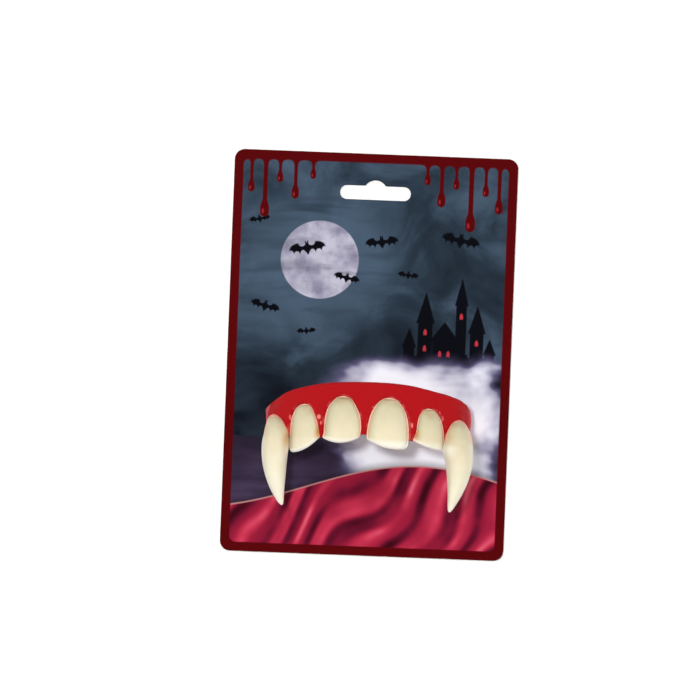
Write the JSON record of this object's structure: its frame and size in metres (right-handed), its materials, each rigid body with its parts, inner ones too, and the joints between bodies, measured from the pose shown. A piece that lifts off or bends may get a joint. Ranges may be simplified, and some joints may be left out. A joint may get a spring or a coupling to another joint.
{
  "type": "vampire fang denture on a display card",
  "caption": "Costume denture for the upper front teeth: an arched gum plate with incisors and long fangs, lying on its plain hanging display card.",
  "frame": {"origin": "centre of the display card's back face", "axes": "+Z out of the card's printed face, towards the teeth; +Y along the card towards its hanging slot; +X to the right as seen from the front of the teeth"},
  "size_m": [0.0668, 0.0948, 0.0181],
  "materials": {
    "card": "printed board with a semi-gloss varnish, dark red border round a slate blue and crimson ground",
    "gum": "smooth moulded red plastic, semi-gloss",
    "teeth": "cream moulded plastic, satin, paler towards the biting edges"
  },
  "bodies": {
    "root": {"display_card": "card", "gum_plate": "gum", "left_central_incisor": "teeth", "left_lateral_incisor": "teeth", "left_fang": "teeth", "right_central_incisor": "teeth", "right_lateral_incisor": "teeth", "right_fang": "teeth"}
  },
  "joints": []
}
